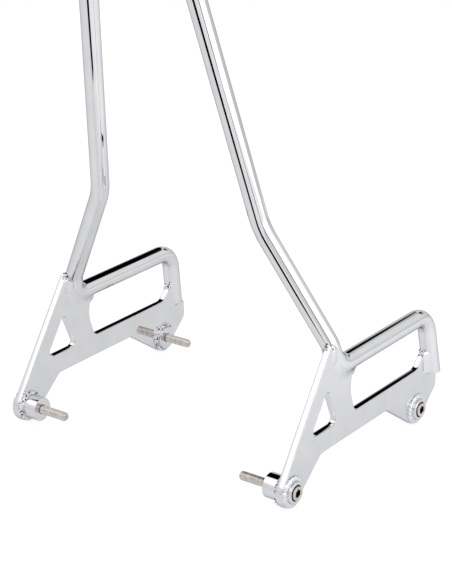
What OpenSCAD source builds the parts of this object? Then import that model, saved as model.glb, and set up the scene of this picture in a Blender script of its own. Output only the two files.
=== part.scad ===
// Sissy bar: two side plates that bolt to the fender struts of a motorbike, and one bent round bar that makes
// a grab loop on each plate and rises to a hoop behind the seat. All sizes are in millimetres.
// +Y is the bike's front, +X its right side and +Z is up. Inside the modules, the rear bolts lie at Y = 0 and
// Z = 0 and the bar is mirrored at X = 0. on_ground() then sets the origin on the level that the plates stand
// on, half way along them.

/* [Overall] */
// Distance between the mid-planes of the two side plates
plate_gap = 283; // [250:1:320]
// Height of the top of the hoop above the bolts
bar_h = 460; // [430:1:500]
// Distance between the rear and the front bolt of a side plate
bolt_pitch = 189; // [182:0.5:200]

/* [Bent bar] */
// Diameter of the round bar
bar_d = 15.875; // [14:0.125:18]
// Height of the grab rail's centreline above the bolts
rail_z = 82.6; // [76:0.1:92]
// Distance from the rear bolts forward to the bend between the grab rail and the upright
junction_y = 68.8; // [64:0.1:74]
// Centreline radius of the bend between the grab rail and the upright
junction_r = 15; // [12:0.5:18]
// Height above the bolts at which the upright starts to lean inwards
neck_z = 103; // [101:0.5:110]
// How far inwards the bar has come at that height
neck_in = 4.9; // [2:0.1:7]
// Backward lean of the bar below that height, as a share of the uprights' lean
neck_share = 0.86; // [0.5:0.01:1]
// Centreline radius of the bend at that height
neck_r = 20; // [16:1:24]
// Inward lean of the lower part of the uprights, seen from the front, in degrees
low_lean = 29.45; // [25:0.05:32]
// Inward lean of the upper part of the uprights, seen from the front, in degrees
high_lean = 9.2; // [7:0.1:12]
// Backward lean of the uprights, seen from the side, in degrees
back_lean = 11.5; // [5:0.5:15]
// Height of the bend between the two parts of the uprights, above the bolts
knee_z = 196.3; // [180:0.1:215]
// Centreline radius of that bend
knee_r = 60; // [40:1:90]
// Centreline radius of the bend at the front of the grab rail
front_bend_r = 14; // [12:0.5:20]
// How far ahead of the front bolts the bar's leg stands
foot_ahead = 25.4; // [22:0.1:30]
// Height of the leg's cut end above the bolts
foot_z = 26.8; // [22:0.1:34]
// How far forward the leg runs from the rail down to its end
leg_run = 8.4; // [0:0.1:14]
// How far outward the leg runs from the rail down to its end
leg_out = 3; // [0:0.1:3.5]

// How much thinner the bar's radius is in its bends, where bending has drawn it
bend_thin = 0.02; // [0.01:0.01:0.1]

/* [Side plates] */
// Thickness of a side plate
plate_t = 6.35; // [5:0.05:7.5]
// Radius of the plate's round end at each bolt
lobe_r = 14.2; // [13.6:0.1:16]
// Height of the plate's top corner above the bolts
crest_z = 105; // [100:0.5:110]
// Height of the raised lower edge between the two bolts
belly_z = 16; // [12:0.5:20]
// Distance from the rear bolts to the rear corner of the raised lower edge
belly_rear = 41.5; // [36:0.5:48]
// Distance from the front bolts to the front corner of the raised lower edge
belly_front = 47.5; // [40:0.5:54]
// Radius in the rear corner of the raised lower edge
belly_rear_r = 8; // [2:0.5:12]
// Radius in the front corner of the raised lower edge
belly_front_r = 3; // [1:0.5:6]
// Height of the lower front corner of the plate above the bolts
nose_z = 10.5; // [8:0.5:14]
// Radius of that corner
nose_r = 10; // [4:0.5:12]

/* [Cut-outs] */
// Width of the band between the plate's rear edge and the triangular cut-out
rear_band = 15.5; // [13:0.5:19]
// Height of the triangle's level side above the bolts
tri_z = 35; // [30:0.5:40]
// Length of the triangle's level side, measured to its sharp corners
tri_len = 39; // [30:0.5:42]
// Height of the triangle, measured to its sharp corners
tri_h = 35; // [28:0.5:38]
// Radii of the triangle's rear, front and top corners
tri_radii = [5, 4, 3]; // [1:0.5:6]
// Height of the floor of the grab opening above the bolts
grab_z = 36; // [30:0.5:42]
// Distance from the rear bolts to the rear end of that floor
grab_rear = 91.2; // [86:0.1:98]
// How far the rear wall of the grab opening runs back from there to its rearmost point
waist_back = 6.9; // [3:0.1:8]
// Height of that rearmost point above the bolts
waist_z = 57.5; // [52:0.5:62]
// How far the rear wall comes forward again from there up to the rail's centreline
wall_fore = 5.4; // [1:0.1:8]
// Distance along the floor from its front end to the centre of the bar's leg
tongue_len = 26.4; // [23:0.1:32]
// Height at which the line of the tongue's edge reaches the centreline of the leg
tongue_z = 62.4; // [56:0.1:68]
// Radii of the grab opening's rear floor corner, front floor corner and rearmost point
grab_radii = [4.5, 9, 25]; // [2:0.5:28]
// Gap between the bar and the edge of the plate that is coped to it, which the welds bridge
cope_gap = 0.1; // [0.08:0.01:0.3]

/* [Bushes] */
// Outer diameter of the spacer on the plate's inner face
spacer_d = 21.2; // [20.5:0.1:24]
// Length of the rear spacers
rear_spacer = 15.5; // [8:0.5:30]
// Length of the front spacers
front_spacer = 5; // [4:0.5:15]
// How far the bush stands out of the plate's outer face
boss_out = 4.8; // [4:0.1:8]
// Wall of the bush round the counterbore
boss_wall = 2.6; // [2:0.1:3]
// Gap all round between the bush and its hole in the plate
seat_gap = 0.1; // [0.05:0.05:0.2]
// Rounding of the outer end
boss_edge = 0.9; // [0.3:0.1:1.2]
// Rounding of the spacer's end
spacer_edge = 0.6; // [0.2:0.1:1.5]

/* [Bolts] */
// Diameter of the bolts
bolt_d = 7.94; // [6:0.01:8.5]
// How much smaller the radius of the plain shank inside the bush is than that of the thread
shank_step = 0.42; // [0.3:0.01:0.6]
// Length of the rear bolts under the head
rear_bolt = 48.3; // [40:0.1:60]
// Length of the front bolts under the head
front_bolt = 36.1; // [30:0.1:50]
// Gap all round between the bolt and its hole in the bush
bolt_gap = 0.25; // [0.1:0.05:0.6]
// Diameter of the bolt's head
head_d = 11.9; // [11:0.1:12.5]
// Height of the bolt's head
head_h = 7.94; // [6:0.01:9]
// Gap all round between the head and its counterbore
head_gap = 0.95; // [0.3:0.05:1.2]
// How far the head stands out of the bush
head_proud = 1.5; // [0:0.1:3]
// Size of the hexagon socket across its flats
hex_af = 6.35; // [5:0.05:7]
// Depth of the hexagon socket
hex_depth = 4; // [2:0.1:4.5]
// Bevel of the bolt's tip
tip_bevel = 1.1; // [0.4:0.1:1.6]
// Bevel round the face of the head
head_bevel = 0.5; // [0.2:0.1:0.8]

/* [Welds] */
// Height of the ring welds on the wall of the bush
ring_h = 2.7; // [1.5:0.1:3.5]
// Bare rim of the plate's round end outside the ring welds
ring_rim = 1; // [0.5:0.1:1.8]
// Height above the plate of the centre of the ring weld's round back
ring_sink = 0.3; // [0:0.05:0.6]
// Radius of the beads along the bent bar
bead_r = 2.6; // [2:0.1:3.2]
// How far the middle of a bead stands out of the plate's face and of the bar
bead_out = 0.65; // [0.2:0.05:1.2]
// Radius of the lump where the bead goes round the plate's top corner
crest_lump = 4.6; // [4:0.1:5.4]
// Height above the bolts of the middle of the lump on top of the tongue
tongue_weld_z = 54.2; // [50:0.1:58]
// Radius of that lump
tongue_lump = 3.9; // [3.6:0.1:4.6]

/* [Hidden] */
$fn = 72;
chrome = [0.82, 0.83, 0.85];
weld_chrome = [0.74, 0.75, 0.77];
bolt_steel = [0.7, 0.67, 0.64];

// The bent bar's corners on the right side, before the bends are rounded
bar_r = bar_d / 2;
side_x = plate_gap / 2;
foot_y = bolt_pitch + foot_ahead;
foot = [side_x + leg_out, foot_y, foot_z];
front_corner = [side_x, foot_y - leg_run, rail_z];
junction = [side_x, junction_y, rail_z];
neck = [side_x - neck_in, junction_y - (neck_z - rail_z) * tan(back_lean) * neck_share, neck_z];
knee = neck + (knee_z - neck_z) * [-tan(low_lean), -tan(back_lean), 1];
apex_rise = knee.x / tan(high_lean);
apex = knee + apex_rise * [-tan(high_lean), -tan(back_lean), 1];
// The round top touches both uprights, so the hoop's height sets its radius
slope_lean = atan(tan(high_lean) * cos(back_lean));
crown_r = (apex.z - (bar_h - bar_r)) / cos(back_lean) / (1 / sin(slope_lean) - 1);
// How far a bend reaches into the straight stretches beside it
bend_lap = 0.3;
// How far a rounded corner's arc stands out over the two lines that it joins, so that they meet cleanly
arc_over = 0.002;
// The leg reaches past its end, where a level cut takes the rest off
foot_past = foot + unit(foot - front_corner) * bar_d;
half_path = [foot_past, front_corner, junction, neck, knee];
half_radii = [0, front_bend_r, junction_r, neck_r, knee_r];

// The side plate's corners, as [forward, up] from the rear bolt
rear_hole = [0, 0];
front_hole = [bolt_pitch, 0];
nose_y = foot_y + bar_r / cos(atan(leg_run / (rail_z - foot_z)));
crest = [bar_y(crest_z) - bar_r / cos(back_lean), crest_z];
rear_touch = lobe_touch(rear_hole, crest, 1);
rear_edge = unit(crest - rear_touch);
band_start = crest + rear_band * [rear_edge.y, -rear_edge.x];
tri_rear = band_start + rear_edge * (tri_z - band_start.y) / rear_edge.y;
tri_top = tri_rear + rear_edge * tri_h / rear_edge.y;
waist = [grab_rear - waist_back, waist_z];
grab_top = [waist.x + wall_fore, rail_z];

// Places along a bolt's axis, outwards from the plate's mid-plane
face_x = plate_t / 2;
boss_x = face_x + boss_out;
seat_x = boss_x + head_proud - head_h;
counterbore_r = head_d / 2 + head_gap;
boss_r = counterbore_r + boss_wall;
spacer_r = spacer_d / 2;
bore_r = bolt_d / 2 + bolt_gap;

function unit(v) = v / norm(v);
// Turn between two unit directions, in degrees
function turn(u, v) = acos(max(-1, min(1, u * v)));
// How much a bend of radius r at corner p takes off each of the two straight stretches
function trim(a, p, b, r) = r * tan(turn(unit(p - a), unit(b - p)) / 2);
function bend_start(a, p, b, r) = p - unit(p - a) * trim(a, p, b, r);
function bend_end(a, p, b, r) = p + unit(b - p) * trim(a, p, b, r);
function bend_centre(a, p, b, r) = p + unit(unit(a - p) + unit(b - p)) * norm([r, trim(a, p, b, r)]);
// Where the line from p touches the plate's round end at a hole, on its left (1) or right (-1) seen from there
function lobe_touch(hole, p, side) =
    let(r = lobe_r - arc_over, d = p - hole, a = atan2(d.y, d.x) + side * acos(r / norm(d)))
    hole + r * [cos(a), sin(a)];
// Forward place and sideways place of the upright's and the leg's centreline at a height
function bar_y(z) = neck.y - (z - neck.z) * tan(back_lean);
function leg_at(z) = front_corner + (foot - front_corner) * (rail_z - z) / (rail_z - foot_z);
// Distance from the bar's centreline plane to its surface, at x to the side of the centreline
function bar_edge(x) = sqrt(bar_r * bar_r - x * x);
function mirrored(p) = [-p.x, p.y, p.z];

module corner_circle(c) {
    translate(bend_centre(c[0], c[1], c[2], c[3])) circle(c[3] + arc_over);
}

// A closed outline whose corners are rounded, outer corners and inner corners alike, listed anticlockwise
module rounded_outline(pts, radii) {
    n = len(pts);
    corners = [for (i = [0:n - 1]) [pts[(i + n - 1) % n], pts[i], pts[(i + 1) % n], radii[i]]];
    function is_outer(c) = cross(c[1] - c[0], c[2] - c[1]) > 0;
    difference() {
        union() {
            polygon([for (c = corners) each c[3] > 0
                ? [bend_start(c[0], c[1], c[2], c[3]), bend_end(c[0], c[1], c[2], c[3])] : [c[1]]]);
            for (c = corners) {
                if (c[3] > 0 && is_outer(c)) corner_circle(c);
            }
        }
        for (c = corners) {
            if (c[3] > 0 && !is_outer(c)) corner_circle(c);
        }
    }
}

// Turns and moves a shape so that its axes point along x, y and z, with its origin at o
module framed(x, y, z, o) {
    multmatrix([[x.x, y.x, z.x, o.x], [x.y, y.y, z.y, o.y], [x.z, y.z, z.z, o.z], [0, 0, 0, 1]]) children();
}

module straight_bar(a, b, r) {
    z = unit(b - a);
    x = unit(cross([1, 0, 0.5], z));
    framed(x, cross(z, x), z, a) cylinder(r = r, h = norm(b - a));
}

// A bend reaches a little way into the straight stretches at both its ends
module bend(a, p, b, bend_r, r) {
    u = unit(p - a);
    centre = bend_centre(a, p, b, bend_r);
    x = unit(bend_start(a, p, b, bend_r) - centre);
    lap = atan(bend_lap / bend_r);
    framed(x, u, cross(x, u), centre) rotate([0, 0, -lap]) {
        rotate_extrude(angle = turn(u, unit(b - p)) + 2 * lap) translate([bend_r, 0]) circle(r - bend_thin);
    }
}

// A round bar of radius r through a list of corners, with a bend at each corner between two stretches
module bent_bar(pts, radii, r) {
    last = len(pts) - 1;
    for (i = [0:last - 1]) {
        from = i == 0 ? pts[0] : bend_end(pts[i - 1], pts[i], pts[i + 1], radii[i]);
        to = i == last - 1 ? pts[last] : bend_start(pts[i], pts[i + 1], pts[i + 2], radii[i + 1]);
        straight_bar(from, to, r);
    }
    for (i = [1:last - 1]) bend(pts[i - 1], pts[i], pts[i + 1], radii[i], r);
}

// Takes off what reaches below the level of the leg's end
module cut_at_foot() {
    difference() {
        children();
        translate([-2 * side_x, foot_y - bar_d, foot_z - 2 * bar_d]) cube([4 * side_x, 3 * bar_d, 2 * bar_d]);
    }
}

module whole_bar() {
    back = [for (i = [len(half_path) - 1:-1:0]) i];
    cut_at_foot() bent_bar(
        concat(half_path, [apex], [for (i = back) mirrored(half_path[i])]),
        concat(half_radii, [crown_r], [for (i = back) half_radii[i]]), bar_r);
}

// The right half of the bar up to the middle of its uprights, which the welds are cut to
module half_bar() {
    cut_at_foot() bent_bar(half_path, half_radii, bar_r);
}

// What the plate's edge is cut by: the bar with a gap round it, which runs straight on past the plate's top
module cope_bar() {
    past = neck + unit(neck - junction) * bar_d;
    cut_at_foot() bent_bar([foot_past, front_corner, junction, past], [0, front_bend_r, junction_r, 0],
        bar_r + cope_gap);
}

module plate_outline() {
    front_under = lobe_touch(front_hole, [bolt_pitch - belly_front, belly_z], 1);
    rear_under = lobe_touch(rear_hole, [belly_rear, belly_z], -1);
    front_over = lobe_touch(front_hole, [nose_y, nose_z], -1);
    leg_point = leg_at(tongue_z);
    rail_bend = bend_start(front_corner, junction, neck, junction_r);
    neck_bend = bend_end(front_corner, junction, neck, junction_r);
    crest_in = [bar_y(crest_z - bar_r), crest_z - bar_r];
    rounded_outline(
        [rear_touch, rear_under, [belly_rear, belly_z], [bolt_pitch - belly_front, belly_z],
            front_under, front_over, [nose_y, nose_z], [nose_y, foot_z], [foot_y, foot_z],
            [leg_point.y, leg_point.z], [grab_top.x + bar_r, rail_z], [rail_bend.y, rail_z],
            [neck_bend.y, neck_bend.z], crest_in, crest],
        [0, 0, belly_rear_r, belly_front_r, 0, 0, nose_r, 0, 0, 0, 0, 0, 0, 0, 0]);
    translate(rear_hole) circle(lobe_r);
    translate(front_hole) circle(lobe_r);
}

module triangle_cut() {
    rounded_outline([tri_rear, tri_rear + [tri_len, 0], tri_top], tri_radii);
}

// The opening reaches up and forward into the bar, so that the bar itself makes its roof and front
module grab_cut() {
    leg_point = leg_at(tongue_z);
    rounded_outline(
        [waist, [grab_rear, grab_z], [foot_y - tongue_len, grab_z], [leg_point.y, leg_point.z],
            [front_corner.y, rail_z + bar_r / 2], [grab_top.x, rail_z + bar_r / 2], grab_top],
        [grab_radii[2], grab_radii[0], grab_radii[1], 0, 0, 0, 0]);
}

// The side plate before its edge is coped to the bar
module plate_blank() {
    translate([side_x - face_x, 0, 0]) rotate([90, 0, 90]) linear_extrude(plate_t) difference() {
        plate_outline();
        triangle_cut();
        grab_cut();
        translate(rear_hole) circle(boss_r + seat_gap);
        translate(front_hole) circle(boss_r + seat_gap);
    }
}

module side_plate() {
    difference() {
        plate_blank();
        cope_bar();
    }
}

// Sets a shape that is turned about Z on the axis of a right-hand bolt, with Z outwards from mid-plate
module on_bolt(hole) {
    translate([side_x, hole.x, hole.y]) rotate([0, 90, 0]) children();
}

// A turned tube through the plate: spacer inside, boss with a counterbore outside
module bush(spacer_len) {
    inner_x = -face_x - spacer_len;
    rotate_extrude() rounded_outline(
        [[bore_r, inner_x], [spacer_r, inner_x], [spacer_r, -face_x], [boss_r, -face_x],
            [boss_r, boss_x], [counterbore_r, boss_x], [counterbore_r, seat_x], [bore_r, seat_x]],
        [0, spacer_edge, 0, 0, boss_edge, 0, 0, 0]);
}

// A socket head cap bolt whose head seats in the bush. Its thread starts where it leaves the spacer
module bolt(length, spacer_len) {
    r = bolt_d / 2;
    shank_r = r - shank_step;
    top = seat_x + head_h;
    tip = seat_x - length;
    neck_x = -face_x - spacer_len;
    difference() {
        rotate_extrude() polygon([[0, tip], [r - tip_bevel, tip], [r, tip + tip_bevel], [r, neck_x],
            [shank_r, neck_x], [shank_r, seat_x], [head_d / 2, seat_x], [head_d / 2, top - head_bevel],
            [head_d / 2 - head_bevel, top], [0, top]]);
        translate([0, 0, top - hex_depth]) cylinder(d = hex_af / cos(30), h = head_h, $fn = 6);
    }
}

// A weld ring round a tube of radius tube_r. Its back is part of a circle through its two edges
module ring_weld(tube_r) {
    w = lobe_r - ring_rim - tube_r;
    centre_x = (w * w - ring_h * ring_h + 2 * ring_h * ring_sink) / (2 * w);
    rotate_extrude() translate([tube_r, 0]) intersection() {
        square([w, 2 * ring_h]);
        translate([centre_x, ring_sink]) circle(norm([w - centre_x, ring_sink]));
    }
}

module outer_ring_weld() {
    translate([0, 0, face_x]) ring_weld(boss_r);
}

module inner_ring_weld() {
    translate([0, 0, -face_x]) mirror([0, 0, 1]) ring_weld(spacer_r);
}

// A bead with round ends along a path
module bead(pts, radii) {
    bent_bar(pts, radii, bead_r);
    translate(pts[0]) sphere(bead_r - bend_thin);
    translate(pts[len(pts) - 1]) sphere(bead_r - bend_thin);
}

module cut_to_seat() {
    difference() {
        children();
        difference() {
            plate_blank();
            half_bar();
        }
        half_bar();
    }
}

// The weld on both faces of the plate from its top corner down round the junction bend and along the rail
module junction_weld() {
    out = bar_edge(face_x) + bead_out;
    up = unit([neck.y - junction.y, neck.z - junction.z]);
    back_line = [junction.y - out * up.y, junction.z + out * up.x];
    corner = back_line - up * (out + out * up.x) / up.y;
    high = back_line + up * (crest_z - bead_r - back_line.y) / up.y;
    low = [grab_top.x - 2 * bead_out, corner.y];
    cut_to_seat() {
        for (x = [side_x - face_x - bead_out, side_x + face_x + bead_out]) {
            bead([[x, high.x, high.y], [x, corner.x, corner.y], [x, low.x, low.y]], [0, junction_r + out, 0]);
        }
        translate([side_x, high.x, high.y]) sphere(crest_lump);
    }
}

// The weld on both faces of the plate's tongue, beside the bar's leg
module leg_weld() {
    low_z = foot_z + bead_r;
    cut_to_seat() {
        for (x = [side_x - face_x - bead_out, side_x + face_x + bead_out]) {
            high = leg_at(tongue_weld_z);
            low = leg_at(low_z);
            bead([[x, high.y - bar_edge(x - high.x), high.z], [x, low.y - bar_edge(x - low.x), low_z]], [0, 0]);
        }
        translate([side_x, leg_at(tongue_weld_z).y - bar_r, tongue_weld_z]) sphere(tongue_lump);
    }
}

// Moves the bar from its bolts to the ground that the plates' round ends stand on
module on_ground() {
    translate([0, -(nose_y - lobe_r) / 2, lobe_r]) children();
}

module right() {
    on_ground() children();
}

module left() {
    on_ground() mirror([1, 0, 0]) children();
}

module hoop_rod() { color(chrome) on_ground() whole_bar(); }
module right_side_plate() { color(chrome) right() side_plate(); }
module left_side_plate() { color(chrome) left() side_plate(); }
module right_rear_bush() { color(chrome) right() on_bolt(rear_hole) bush(rear_spacer); }
module right_front_bush() { color(chrome) right() on_bolt(front_hole) bush(front_spacer); }
module left_rear_bush() { color(chrome) left() on_bolt(rear_hole) bush(rear_spacer); }
module left_front_bush() { color(chrome) left() on_bolt(front_hole) bush(front_spacer); }
module right_rear_bolt() { color(bolt_steel) right() on_bolt(rear_hole) bolt(rear_bolt, rear_spacer); }
module right_front_bolt() { color(bolt_steel) right() on_bolt(front_hole) bolt(front_bolt, front_spacer); }
module left_rear_bolt() { color(bolt_steel) left() on_bolt(rear_hole) bolt(rear_bolt, rear_spacer); }
module left_front_bolt() { color(bolt_steel) left() on_bolt(front_hole) bolt(front_bolt, front_spacer); }
module right_rear_outer_weld() { color(weld_chrome) right() on_bolt(rear_hole) outer_ring_weld(); }
module right_front_outer_weld() { color(weld_chrome) right() on_bolt(front_hole) outer_ring_weld(); }
module left_rear_outer_weld() { color(weld_chrome) left() on_bolt(rear_hole) outer_ring_weld(); }
module left_front_outer_weld() { color(weld_chrome) left() on_bolt(front_hole) outer_ring_weld(); }
module right_rear_inner_weld() { color(weld_chrome) right() on_bolt(rear_hole) inner_ring_weld(); }
module right_front_inner_weld() { color(weld_chrome) right() on_bolt(front_hole) inner_ring_weld(); }
module left_rear_inner_weld() { color(weld_chrome) left() on_bolt(rear_hole) inner_ring_weld(); }
module left_front_inner_weld() { color(weld_chrome) left() on_bolt(front_hole) inner_ring_weld(); }
module right_junction_weld() { color(weld_chrome) right() junction_weld(); }
module left_junction_weld() { color(weld_chrome) left() junction_weld(); }
module right_leg_weld() { color(weld_chrome) right() leg_weld(); }
module left_leg_weld() { color(weld_chrome) left() leg_weld(); }

hoop_rod();
right_side_plate();
left_side_plate();
right_rear_bush();
right_front_bush();
left_rear_bush();
left_front_bush();
right_rear_bolt();
right_front_bolt();
left_rear_bolt();
left_front_bolt();
right_rear_outer_weld();
right_front_outer_weld();
left_rear_outer_weld();
left_front_outer_weld();
right_rear_inner_weld();
right_front_inner_weld();
left_rear_inner_weld();
left_front_inner_weld();
right_junction_weld();
left_junction_weld();
right_leg_weld();
left_leg_weld();
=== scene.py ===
import math
from functools import reduce
import bpy
import numpy as np
from mathutils import Matrix, Vector
from mathutils.geometry import tessellate_polygon


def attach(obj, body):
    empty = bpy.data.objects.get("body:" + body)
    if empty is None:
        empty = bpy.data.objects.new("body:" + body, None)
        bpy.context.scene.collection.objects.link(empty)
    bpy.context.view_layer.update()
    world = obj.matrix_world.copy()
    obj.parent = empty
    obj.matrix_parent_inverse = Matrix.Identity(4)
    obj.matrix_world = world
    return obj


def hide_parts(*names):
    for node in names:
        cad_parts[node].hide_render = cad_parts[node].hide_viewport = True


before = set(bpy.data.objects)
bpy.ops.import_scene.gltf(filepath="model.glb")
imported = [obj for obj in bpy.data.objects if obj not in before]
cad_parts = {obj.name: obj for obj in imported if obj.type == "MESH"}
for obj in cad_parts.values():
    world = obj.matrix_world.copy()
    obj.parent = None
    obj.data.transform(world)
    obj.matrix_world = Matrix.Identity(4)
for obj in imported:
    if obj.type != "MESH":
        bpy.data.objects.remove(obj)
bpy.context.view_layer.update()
scene = bpy.context.scene

# Lengths below are in millimetres, seen from the rear bolts, and shift sets them on the part's own origin
shift = np.array([0.0, -104.113, 14.2])


def hexColor(text):
    # sRGB hex to linear: below 0.04045 a straight line, above it a power of 2.4
    part = np.array([int(text[i:i + 2], 16) for i in (1, 3, 5)]) / 255
    linear = np.where(part <= 0.04045, part / 12.92, ((part + 0.055) / 1.055) ** 2.4)
    return (*linear.tolist(), 1.0)


def addNode(tree, kind, inputs=None, stops=(), **settings):
    # adds one node, sets its options, fills or links its inputs, and gives a ramp its two stops as (place, hex)
    node = tree.nodes.new(kind)
    for key, value in settings.items():
        setattr(node, key, value)
    for key, value in (inputs or {}).items():
        if isinstance(value, bpy.types.NodeSocket):
            tree.links.new(value, node.inputs[key])
        else:
            node.inputs[key].default_value = value
    for index, (place, color) in enumerate(stops):
        stop = node.color_ramp.elements[index]
        stop.position, stop.color = place, hexColor(color)
    return node


def unit(v):
    # each vector at length 1
    return v / np.linalg.norm(v, axis=-1, keepdims=True)


def gridFaces(rows, cols, ring=False):
    # quads between neighbouring rows of a grid whose last column joins the first; ring also joins the last row
    r, c = np.meshgrid(np.arange(rows if ring else rows - 1), np.arange(cols), indexing="ij")
    n, d = (c + 1) % cols, (r + 1) % rows
    return np.stack([r * cols + c, r * cols + n, d * cols + n, d * cols + c], -1).reshape(-1, 4)


def capFaces(first, cols, tip, flip):
    # a fan of triangles from one ring of a grid to the vertex that closes it
    c = np.arange(cols)
    a, b = first + c, first + (c + 1) % cols
    fan = np.stack([b, a, np.full(cols, tip)], -1)
    return fan[:, ::-1] if flip else fan


def endCaps(rows, cols):
    # the fans that close both ends of a grid; the two vertices they run to follow the grid's own
    return [capFaces(0, cols, rows * cols, False), capFaces((rows - 1) * cols, cols, rows * cols + 1, True)]


def joinShells(shells):
    # several (verts, faces) shells as one list of vertices and faces
    verts, faces, base = [], [], 0
    for points, parts in shells:
        verts.append(points)
        faces += [f + base for f in parts]
        base += len(points)
    return np.concatenate(verts), faces


def turnedOut(verts, faces):
    # turns a closed shell's faces over if its volume comes out negative
    tris = np.concatenate([f if f.shape[1] == 3 else np.concatenate([f[:, [0, 1, 2]], f[:, [0, 2, 3]]])
                           for f in faces])
    p = verts[tris] - verts.mean(0)
    volume = np.einsum("ij,ij->i", p[:, 0], np.cross(p[:, 1], p[:, 2])).sum()
    return verts, faces if volume >= 0 else [f[:, ::-1] for f in faces]


def makeMesh(name, verts, faces, material, slot, node=None, flat=False, extra=()):
    # verts in millimetres from the rear bolts
    points = (np.asarray(verts, float) + shift) / 1000
    rows = [row for f in faces for row in f.tolist()]
    mesh = bpy.data.meshes.new(name)
    mesh.from_pydata(points.tolist(), [], rows)
    mesh.polygons.foreach_set("use_smooth", np.ones(len(rows), bool))
    mesh.update()
    piece = bpy.data.objects.new(name, mesh)
    scene.collection.objects.link(piece)
    for coat in (material, *extra):
        mesh.materials.append(coat)
    if flat:
        keepFlat = piece.modifiers.new("keepFlat", "WEIGHTED_NORMAL")  # large flat faces keep their own normal
        keepFlat.mode, keepFlat.weight, keepFlat.keep_sharp = "FACE_AREA", 100, True
    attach(piece, "root")
    if node:
        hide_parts(node)
    return piece


phases = (0, 6.28)  # the range that a wave's phase is drawn from


def ripple(size, waves, seed):
    # smooth closed noise: a sum of sines of whole numbers of waves with set phases, about -1 to 1
    pick = np.random.default_rng(seed)
    angle = np.linspace(0, 2 * math.pi, size, endpoint=False)
    parts = [np.sin(k * angle + pick.uniform(*phases)) * pick.uniform(0.5, 1) for k in waves]
    return np.sum(parts, 0) / len(waves)


# Sizes of the finishes' patterns in millimetres
finish = {"polishWave": 45.0, "hazeSize": 18.0, "weldRipple": 2.4, "streakWidth": 0.6, "streakLength": 6.0}


def perMetre(size):
    # a texture's scale for a pattern of this size in millimetres
    return 1000 / size


def metalMaterial(name):
    # a metal, its node tree and shader, and the place on the piece that its patterns follow
    material = bpy.data.materials.new(name)
    material.use_nodes = True
    tree = material.node_tree
    shader = tree.nodes["Principled BSDF"]
    shader.inputs["Metallic"].default_value = 1.0
    return material, tree, shader, addNode(tree, "ShaderNodeTexCoord").outputs["Object"]


def linkShader(tree, shader, tint, rough, bump):
    # colour, roughness and relief into the shader
    tree.links.new(tint.outputs["Color"], shader.inputs["Base Color"])
    tree.links.new(rough.outputs["Result"], shader.inputs["Roughness"])
    tree.links.new(bump.outputs["Normal"], shader.inputs["Normal"])


def chromePlate():
    # bright decorative chrome over polished steel: a hard cool mirror with very slight polishing waves
    material, tree, shader, place = metalMaterial("chromePlate")
    waves = addNode(tree, "ShaderNodeTexNoise",
                    {"Vector": place, "Scale": perMetre(finish["polishWave"]), "Detail": 1.0})
    haze = addNode(tree, "ShaderNodeTexNoise",
                   {"Vector": place, "Scale": perMetre(finish["hazeSize"]), "Detail": 4.0})
    tint = addNode(tree, "ShaderNodeValToRGB", {0: haze.outputs["Fac"]}, [(0.35, "#E9EAED"), (0.65, "#EFEFF1")])
    rough = addNode(tree, "ShaderNodeMapRange", {"Value": haze.outputs["Fac"], "To Min": 0.02, "To Max": 0.06})
    bump = addNode(tree, "ShaderNodeBump", {"Height": waves.outputs["Fac"], "Strength": 0.12, "Distance": 0.0006})
    linkShader(tree, shader, tint, rough, bump)
    shader.inputs["Specular Tint"].default_value = hexColor("#D6D7DA")  # chrome darkens a little at its outline
    return material


def chromeWeld(name, relief, pitSize, pitShade):
    # chrome over a weld: the same plating on a lumpy seam breaks the reflection into sparks,
    # and into more of them where the weld is less dressed; its pits get painted shade, a darker colour at their
    # centres
    material, tree, shader, place = metalMaterial(name)
    lumps = addNode(tree, "ShaderNodeTexNoise",
                    {"Vector": place, "Scale": perMetre(finish["weldRipple"]), "Detail": 2.0})
    pits = addNode(tree, "ShaderNodeTexVoronoi", {"Vector": place, "Scale": perMetre(pitSize)})
    rough = addNode(tree, "ShaderNodeMapRange", {"Value": lumps.outputs["Fac"], "To Min": 0.04, "To Max": 0.14})
    bump = addNode(tree, "ShaderNodeBump", {"Height": lumps.outputs["Fac"], "Strength": 0.8, "Distance": relief})
    fine = addNode(tree, "ShaderNodeBump", {"Height": pits.outputs["Distance"], "Normal": bump.outputs["Normal"],
                                            "Strength": 0.25, "Distance": 0.0003})
    # painted shade: the pits' centres take the darker colour
    tint = addNode(tree, "ShaderNodeValToRGB", {0: pits.outputs["Distance"]}, [(0.2, pitShade), (0.42, "#F0F1F5")])
    linkShader(tree, shader, tint, rough, fine)
    return material


def stainlessBolt(name, light, dark):
    # rolled and tumbled stainless steel: a warm grey satin with fine streaks round the bolt
    material, tree, shader, place = metalMaterial(name)
    across, along = perMetre(finish["streakWidth"]), perMetre(finish["streakLength"])
    stretched = addNode(tree, "ShaderNodeMapping", {"Vector": place, "Scale": (across, along, along)})
    streaks = addNode(tree, "ShaderNodeTexNoise",
                      {"Vector": stretched.outputs["Vector"], "Scale": 1.0, "Detail": 3.0})
    tint = addNode(tree, "ShaderNodeValToRGB", {0: streaks.outputs["Fac"]}, [(0.3, dark), (0.7, light)])
    rough = addNode(tree, "ShaderNodeMapRange", {"Value": streaks.outputs["Fac"], "To Min": 0.24, "To Max": 0.4})
    bump = addNode(tree, "ShaderNodeBump", {"Height": streaks.outputs["Fac"], "Strength": 0.2, "Distance": 0.0001})
    linkShader(tree, shader, tint, rough, bump)
    return material


chrome = chromePlate()
# both weld finishes paint their pits darker, faintly on the dressed weld and black on the raw one: painted shade
weldChrome = chromeWeld("chromeWeld", 0.0009, 1.6, "#DADBDE")
rawWeldChrome = chromeWeld("chromeRawWeldPitShade", 0.0018, 2.8, "#161617")  # undressed, its 2.8 mm pits are painted black as painted shade in the hollows
stainless = stainlessBolt("stainlessBolt", "#EFEAE5", "#C7BFB9")
# the socket's inside: the same satin in dark brown, painted shade in the hex recess
socketShade = stainlessBolt("socketPaintedShade", "#776B62", "#433B36")
print("finishes made")


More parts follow.
